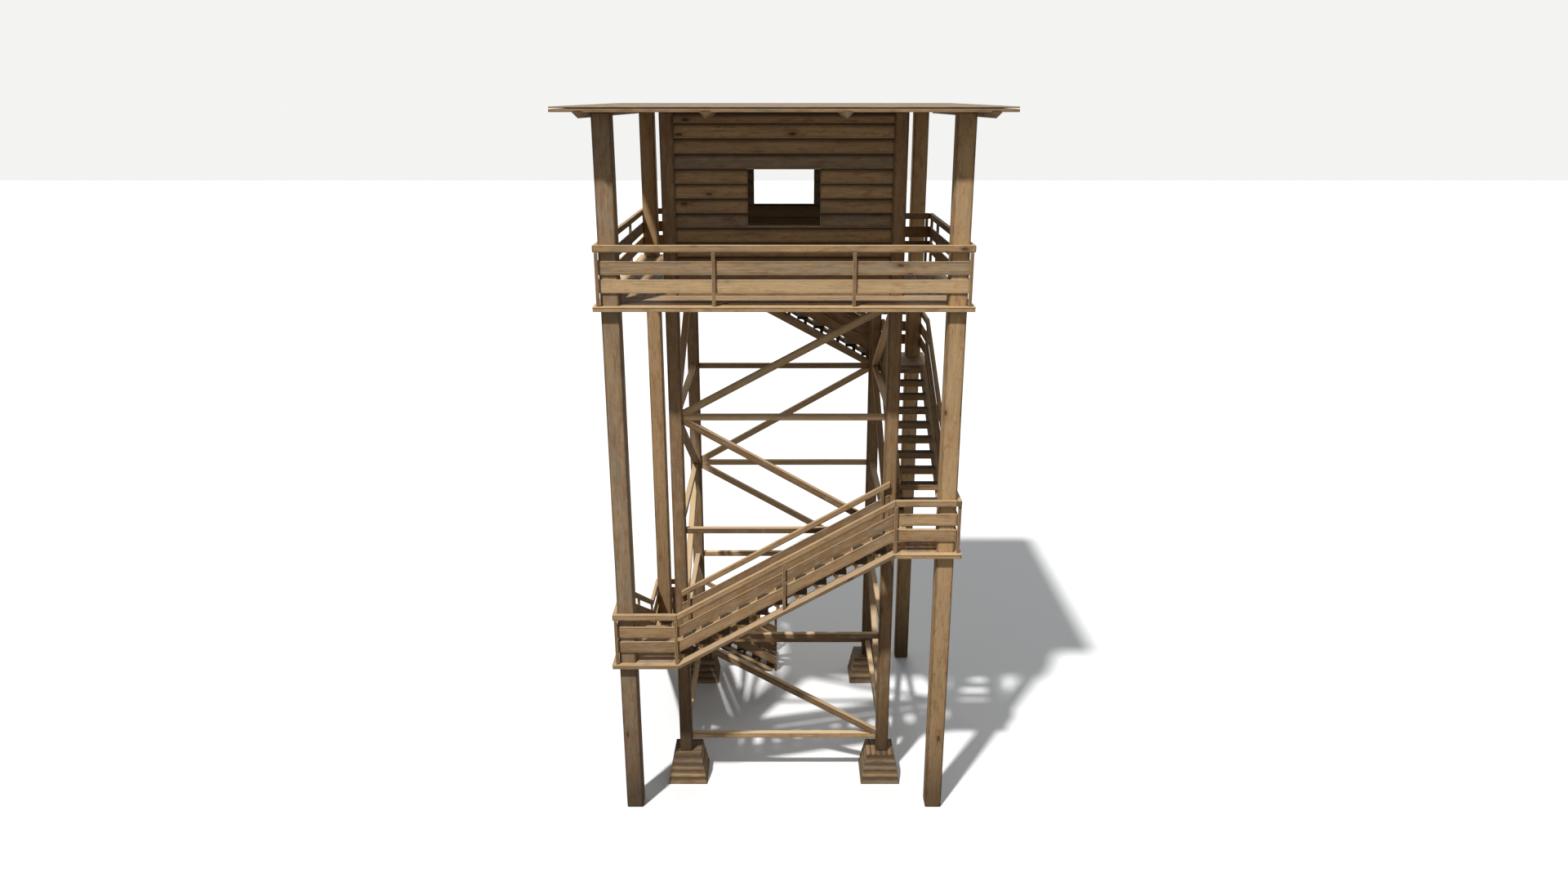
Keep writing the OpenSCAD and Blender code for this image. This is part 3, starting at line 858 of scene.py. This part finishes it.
def tread(stack, base, step):
    """A plank bevelled where it beds on the strings, and a deeper board before it."""
    x = nosing(step)
    back = x + going - TREAD_GAP
    top = level(base) + step * rise
    line = walk_line(base)
    slope = Vector((-line[1], 0, 1)).normalized()
    bed = (Vector((back, 0, line[0] + back * line[1])), -slope)
    middle = Vector(((x + NOSE_THICK + back) / 2, 0, top - TREAD / 2))
    stack.timber(middle - OUT * tread_outer, middle - OUT * tread_inner, ALONG,
                 back - x - NOSE_THICK - CLEARANCE, TREAD, cuts=[bed], tone=TREAD_SHADE_TONE, sway=0)
    stack.bar((x, -tread_outer, top - NOSE_HEIGHT), (x + NOSE_THICK, -tread_inner, top), "y",
              ease=NOSE_EASE, tone=NOSE_LIGHT_TONE, sway=0)
    for y in (tread_outer - TREAD_NAIL_INSET, tread_inner + TREAD_NAIL_INSET):
        for inset in TREAD_NAILS:
            stack.nail((x + inset, -y, top), UP, radius=SMALL_NAIL)


for name, base, turn in FLIGHTS:
    treads = Stack()
    treads.side(turn)
    for step in range(1, RISERS + 1):
        if level(base) + step * rise > NOSE_HEIGHT:
            tread(treads, base, step)
    treads.finish("treads_" + name, "treads", FLOOR_WOOD)
# %% [markdown]
# Every guard is built the same way: a handrail on top, two boards on the walking
# side, and thin posts outside them. On a flight the same members follow the slope
# of the stair and are cut plumb, so they meet the level ones at the landings.
# %% The guard maker
RAIL_HEIGHT = 0.910
CAP = 0.110
CAP_EASE = 0.018
CAP_GAP = 0.136
BOARD = 0.200
BOARD_GAP = 0.070
BOARD_THICK = 0.024
RAIL_POST = 0.050
NAIL_DROPS = (0.05, 0.15)
CAP_TONE, RAIL_POST_TONE = (0.55, 0.25), (0.35, 0.35)
TONES = ((0.45, 0.30), (0.30, 0.40))


def guard(stack, x0, x1, face, line, posts, short=(0, 0), ground=False, tones=TONES):
    """A guard outside y = -face, from x0 to x1; its boards stop short of the rail's ends."""
    cap_under = RAIL_HEIGHT - CAP
    upper = cap_under - CAP_GAP
    lower = upper - BOARD - BOARD_GAP
    sloped(stack, x0, x1, cap_under, RAIL_HEIGHT, -face - RAIL_DEPTH, -face, line,
           ground, ease=CAP_EASE, tone=CAP_TONE)
    for top, tone in ((upper, tones[0]), (lower, tones[1])):
        sloped(stack, x0 + short[0], x1 - short[1], top - BOARD, top, -face - BOARD_THICK, -face,
               line, ground, ease=BOARD_EASE, tone=tone)
    for x in posts:
        foot, head = [max(0, line[0] + x * line[1] + lift) for lift in (0, cap_under)]
        head += abs(line[1]) * RAIL_POST / 2
        stack.bar((x - RAIL_POST / 2, -face - RAIL_DEPTH, foot),
                  (x + RAIL_POST / 2, -face - BOARD_THICK - CLEARANCE / 2, head), "z",
                  tone=RAIL_POST_TONE)
        for top in (upper, lower):
            for drop in NAIL_DROPS:
                height = line[0] + x * line[1] + top - drop
                stack.nail((x, -face - RAIL_DEPTH, height), -OUT, radius=SMALL_NAIL)


print("guard height:", RAIL_HEIGHT)
# %% Guards of the flights
FLIGHT_TONES = ((0.10, 0.40), (0.40, 0.25))
ground_step = next(step for step in range(1, RISERS + 1) if level(-1) + step * rise > NOSE_HEIGHT)
ground_x = nosing(ground_step)
beside_leg = leg_back - RAIL_POST / 2 - HALF_GAP
for name, base, turn in FLIGHTS:
    rails = Stack()
    rails.side(turn)
    start = ground_x if base < 0 else -landing_edge
    first = [ground_x + RAIL_POST / 2] if base < 0 else []
    for face, posts in ((post_face, first or [0]),
                        (leg_face, (first or [-beside_leg]) + [beside_leg])):
        guard(rails, start, landing_edge, face, walk_line(base), posts, ground=base < 0,
              tones=FLIGHT_TONES)
    rails.finish("rails_" + name, "guard_rails", BOARD_WOOD)
# %% Guards of the landings
CORNER_GAP = 0.0003
UPPER_LANDING_TONES = ((0.78, 0.15), (0.50, 0.20))
corner_post = post_face + BOARD_THICK
end_post = landing_edge + RAIL_POST / 2
for name, base, turn in LANDINGS:
    rails = Stack()
    rails.side(turn)
    line = (level(base), 0)
    tones = TONES if base < 2 else UPPER_LANDING_TONES
    guard(rails, -post_face - RAIL_DEPTH, -landing_edge, post_face, line,
          (-corner_post, -end_post), short=(RAIL_POST, 0), tones=tones)
    rails.side(turn + LEFT)
    guard(rails, landing_edge, post_face - CORNER_GAP, post_face, line, (end_post,), tones=tones)
    rails.finish("landing_rail_" + name, "guard_rails", BOARD_WOOD)
# %% Guards of the gallery
BAY = 1.045
GALLERY_TONES = ((0.62, 0.70), (1.35, 0.0))
level_line = (gallery, 0)
rails = Stack()
guard(rails, -post_face - RAIL_DEPTH, post_face + RAIL_DEPTH, post_face, level_line,
      (-corner_post, -BAY, BAY, corner_post), short=(RAIL_POST, RAIL_POST), tones=GALLERY_TONES)
rails.finish("gallery_rail_front", "guard_rails", BOARD_WOOD)
for name, turn, end, posts in (("left", LEFT, post_face, (-BAY, BAY)),
                               ("right", RIGHT, leg_face, (-BAY, BAY, leg_face - RAIL_POST / 2))):
    rails = Stack()
    rails.side(turn)
    guard(rails, -post_face, end, post_face, level_line, posts, tones=GALLERY_TONES)
    rails.finish("gallery_rail_" + name, "guard_rails", BOARD_WOOD)
rails = Stack()
rails.side(BACK)
guard(rails, landing_edge, post_face + RAIL_DEPTH, post_face, level_line,
      (corner_post, end_post), short=(0, RAIL_POST), tones=GALLERY_TONES)
rails.finish("gallery_rail_back", "guard_rails", BOARD_WOOD)
rails = Stack()
rails.side(BACK)
guard(rails, -post_face + CORNER_GAP, -leg_face - CORNER_GAP, leg_face - RAIL_DEPTH, level_line,
      (-post_face + RAIL_POST, -leg_face - RAIL_POST))
rails.finish("stairwell_rail", "guard_rails", BOARD_WOOD)
# %% [markdown]
# The cabin is clad with lap boards: the foot of each course stands out over the
# head of the one below, which gives the deep shadow lines, and the finish paints
# more shadow across the top of each course under the lap. Flat boards line the
# inside, in a pale tone that is painted light for the dim room, and a thin lining,
# set back behind the boards' ends, closes the wall at both sides of an opening.
# Courses beside an opening are split, and a sill or a head piece fills what is
# left. Four tones repeat up the wall, as boards from four planks would.
# %% Lap boards
LAP_SHOW = 0.222
FIRST_LAP = 0.169
LAP_BOARD = 0.022
LAP_OVER = 0.024
COURSE_TONES = ((0.50, 0.20), (0.40, 0.95), (0.50, 0.40), (0.75, 0.30))


def courses():
    """Foot and head of each course of boards, from the floor to the roof."""
    feet = [gallery]
    while feet[-1] < roof_under - LAP_SHOW:
        feet.append(gallery + FIRST_LAP + (len(feet) - 1) * LAP_SHOW)
    return list(zip(feet, feet[1:] + [roof_under]))


def lap_board(stack, x0, x1, foot, head, tone):
    """A course that leans out at its foot, over the head of the one below."""
    lean = Vector((0, LAP_BOARD, LAP_SHOW)).normalized()
    inward = Vector((0, lean.z, -lean.y))
    width = min((head - foot) + LAP_OVER, roof_under - foot - CLEARANCE)
    middle = Vector((0, -wall_face, foot)) + lean * (width / 2) + inward * (LAP_BOARD / 2)
    stack.timber(middle + ALONG * x0, middle + ALONG * x1, lean, width, LAP_BOARD,
                 ease=BOARD_EASE, tone=tone, sway=0.001)


print("courses on a wall:", len(courses()))
# %% Round an opening
FOOT_SLACK, HEAD_SLACK = 0.04, 0.02
OVER_SILL, UNDER_LINTEL = 0.05, 0.03
FILL_TONE, LINING_TONE = (0.9, 0.2), (0.1, 0.3)


def is_split(foot, head, sill, lintel):
    """Whether an opening from sill to lintel takes enough of a course to split it."""
    above_sill = foot > sill - FOOT_SLACK
    across_sill = foot < sill < head - OVER_SILL
    across_lintel = above_sill and foot < lintel - UNDER_LINTEL and lintel < head
    return above_sill and head < lintel + HEAD_SLACK or across_sill or across_lintel


def fill(stack, half_open, foot, head, inner):
    """The sill or head piece of an opening, through the whole wall."""
    stack.bar((-half_open, -wall_face + CLEARANCE, foot), (half_open, inner - CLEARANCE, head),
              "x", ease=BOARD_EASE, tone=FILL_TONE, sway=0)


print("a course is split with", OVER_SILL, "m of it above a sill")
# %% Clad a wall
LINING = 0.020
LINING_BACK = 0.030
INNER_BOARD = 0.018
INNER_GAP = 0.004
# The inner boards are made pale as painted light, for the little light that reaches the inside.
INNER_PAINTED_LIGHT_TONE = (1.9, 0.0)
WALL_NAILS = (-1.5, -0.95, -0.62, 0.62, 0.95, 1.5)
NAIL_OVER_FOOT, NAIL_SINK = 0.035, 0.003
wall_depth = high("wall_front").y - low("wall_front").y


def wall(stack, half_open, sill, lintel):
    """Both skins of a wall between two legs, round an opening of that half width."""
    inner = -wall_face + wall_depth
    jamb = half_open + LINING
    for i, (foot, head) in enumerate(courses()):
        split = is_split(foot, head, sill, lintel)
        spans = [(-leg_back, -half_open), (half_open, leg_back)] if split else [(-leg_back, leg_back)]
        for x0, x1 in spans:
            lap_board(stack, x0, x1, foot, head, COURSE_TONES[i % 4])
            stack.bar((x0, inner - INNER_BOARD, foot + INNER_GAP), (x1, inner, head - INNER_GAP),
                      "x", ease=BOARD_EASE, tone=INNER_PAINTED_LIGHT_TONE, sway=0.001)
            for x in [place for place in WALL_NAILS if x0 < place < x1]:
                stack.nail((x, -wall_face + NAIL_SINK, foot + NAIL_OVER_FOOT), -OUT)
        if split and foot < sill < head:
            fill(stack, half_open, foot, sill, inner)
        if split and foot < lintel < head:
            fill(stack, half_open, lintel, head, inner)
    for x0, x1 in ((-jamb, -half_open - HALF_GAP), (half_open + HALF_GAP, jamb)):
        stack.bar((x0, -wall_face + LINING_BACK, sill), (x1, inner - INNER_BOARD, lintel), "z",
                  ease=BOARD_EASE, tone=LINING_TONE, sway=0)


window = (0.560, gallery + 1.085, gallery + 1.930)
doorway = (0.450, gallery, gallery + 2.030)
for name, turn, opening in (("front", FRONT, window), ("back", BACK, window),
                            ("right", RIGHT, window), ("left", LEFT, doorway)):
    cladding = Stack()
    cladding.side(turn)
    wall(cladding, *opening)
    cladding.finish("wall_" + name, "wall_boards", WALL_WOOD)
# %% [markdown]
# The roof is nearly flat and falls to the front. Boards run across it over square
# rafters that lie on their arris, so only a V of each rafter shows below the
# ceiling boards. A fascia closes the edge all round.
# %% Roof boards
FRONT_DEPTH = 0.075
ROOF_BOARD = 0.018
ROOF_WIDTH = 0.200
ROOF_GAP = 0.005
roof_half = high("roof_deck").x
roof_rise = high("roof_deck").z - roof_under - FRONT_DEPTH
fall = Vector((0, 2 * roof_half, roof_rise)).normalized()
fall_up = Vector((0, -fall.z, fall.y))
ceiling = roof_half - FASCIA
count = round(2 * roof_half / ROOF_WIDTH)
board = 2 * roof_half / count
roof = Stack()
for k in range(count):
    y = -roof_half + (k + 0.5) * board
    top = roof_under + FRONT_DEPTH + (y + roof_half) / (2 * roof_half) * roof_rise
    middle = Vector((0, y, top)) - fall_up * (ROOF_BOARD / 2)
    reach = ALONG * roof_half
    roof.timber(middle - reach, middle + reach, fall, board - ROOF_GAP, ROOF_BOARD,
                tone=(-0.50 + 0.3 * dice.random(), 0.35 + 0.3 * dice.random()), sway=0)
    low_y = max(y - board / 2, -ceiling) + HALF_GAP
    high_y = min(y + board / 2, ceiling) - HALF_GAP
    roof.bar((-ceiling, low_y, roof_under + CLEARANCE), (ceiling, high_y, roof_under + ROOF_BOARD),
             "x", ease=BOARD_EASE, sway=0.001)
print("roof boards:", count)
# %% Fascia
ROOF_GROOVE = 0.014
EDGE_TONE = (0.75, 0.45)
front_top = roof_under + FRONT_DEPTH - ROOF_BOARD - ROOF_GROOVE
roof.bar((-roof_half, -roof_half, roof_under), (roof_half, -roof_half + FASCIA, front_top), "x",
         tone=EDGE_TONE, sway=0)
roof.bar((-roof_half, ceiling, roof_under), (roof_half, roof_half, front_top + roof_rise), "x",
         tone=EDGE_TONE, sway=0)
tall = FRONT_DEPTH + roof_rise
slope_cut = (Vector((0, -roof_half, front_top)), fall_up)
for side in (-1, 1):
    middle = Vector((side * (roof_half - FASCIA / 2), 0, roof_under + tall / 2))
    roof.timber(middle - OUT * ceiling, middle + OUT * ceiling, ALONG, FASCIA, tall,
                cuts=[slope_cut], tone=EDGE_TONE, sway=0)
roof.finish("roof_deck", "roof_boards", ROOF_WOOD)
# %% Rafters
RAFTER = 0.120
RAFTER_HALF = 0.085
RAFTER_TOP = 0.02
RAFTER_EASE = 0.005
INNER_RAFTERS = (-1.080, 0.873)
first_rafter = low("roof_rafters").x + RAFTER_HALF
last_rafter = high("roof_rafters").x - RAFTER_HALF
rafters = Stack()
for x in (first_rafter, *INNER_RAFTERS, last_rafter):
    middle = Vector((x, 0, roof_under))
    rafters.timber(middle - OUT * roof_half, middle + OUT * roof_half, Vector((1, 0, 1)),
                   RAFTER, RAFTER, ease=RAFTER_EASE, cuts=[(middle + UP * RAFTER_TOP, UP)], sway=0)
rafters.finish("roof_rafters", "rafters", FRAME_WOOD)
# %% [markdown]
# The tower stands on a plain pale floor. The camera sees floor and sky as the same
# near-white, while light that bounces off the floor is kept low, so the undersides
# stay dark. The Light Path node tells the two kinds of ray apart.
# %% Floor
FLOOR_HALF = 150
FLOOR_DROP = 0.002


def direct(start):
    """1 for camera, glossy and transmission rays, and 0 for those that only bring light."""
    first, second, third = [start.node("LightPath", {}, {}, out=ray) for ray in (0, 3, 6)]
    return start.math("MAXIMUM", start.math("MAXIMUM", first, second), third)


floor_mesh = bpy.data.meshes.new("floor")
ground = bmesh.new()
bmesh.ops.create_grid(ground, x_segments=1, y_segments=1, size=FLOOR_HALF)
bmesh.ops.translate(ground, vec=(0, 0, -FLOOR_DROP), verts=ground.verts)
ground.to_mesh(floor_mesh)
ground.free()
floor_piece = link("floor", floor_mesh)
pale = bpy.data.materials.new("pale floor")
start = empty_tree(pale)
bright = start.node("BsdfDiffuse", {}, {"Color": (0.80, 0.80, 0.79, 1)})
dim = start.node("BsdfDiffuse", {}, {"Color": (0.22, 0.21, 0.20, 1)})
mixed = start.node("MixShader", {}, {0: direct(start), 1: dim, 2: bright})
start.node("OutputMaterial", {}, {0: mixed})
floor_mesh.materials.append(pale)
print("floor half size:", FLOOR_HALF, "m")
# %% [markdown]
# One sun from the upper left front throws the shadows of the roof and the gallery
# down the posts, and an even pale sky fills them. A broad weak light behind shows
# the back, and hardly touches what faces the camera.
# %% Sun and sky
SUN_FROM, SUN_STRENGTH, SUN_WIDTH = (-0.32, -0.51, 1.0), 3.9, 2.5
BACK_FROM, BACK_STRENGTH, BACK_WIDTH = (0, 1, 0.45), 1.3, 40
SKY_STRENGTH = 0.26


def sun_lamp(name, source, strength, degrees):
    """Light from one direction, with the softness of a disc that many degrees wide."""
    lamp = link(name, bpy.data.lights.new(name, "SUN"))
    lamp.data.energy = strength
    lamp.data.angle = math.radians(degrees)
    lamp.rotation_euler = Vector(source).to_track_quat("Z", "Y").to_euler()


sun_lamp("sun", SUN_FROM, SUN_STRENGTH, SUN_WIDTH)
sun_lamp("back light", BACK_FROM, BACK_STRENGTH, BACK_WIDTH)
world = bpy.data.worlds.new("sky")
bpy.context.scene.world = world
start = empty_tree(world)
glow = start.node("Background", {}, {"Color": (0.90, 0.95, 1.0, 1), "Strength": SKY_STRENGTH})
white = start.node("Background", {}, {"Color": (0.90, 0.90, 0.89, 1), "Strength": 1.0})
mixed = start.node("MixShader", {}, {0: direct(start), 1: glow, 2: white})
start.node("OutputWorld", {}, {0: mixed})
print("sun from", SUN_FROM)
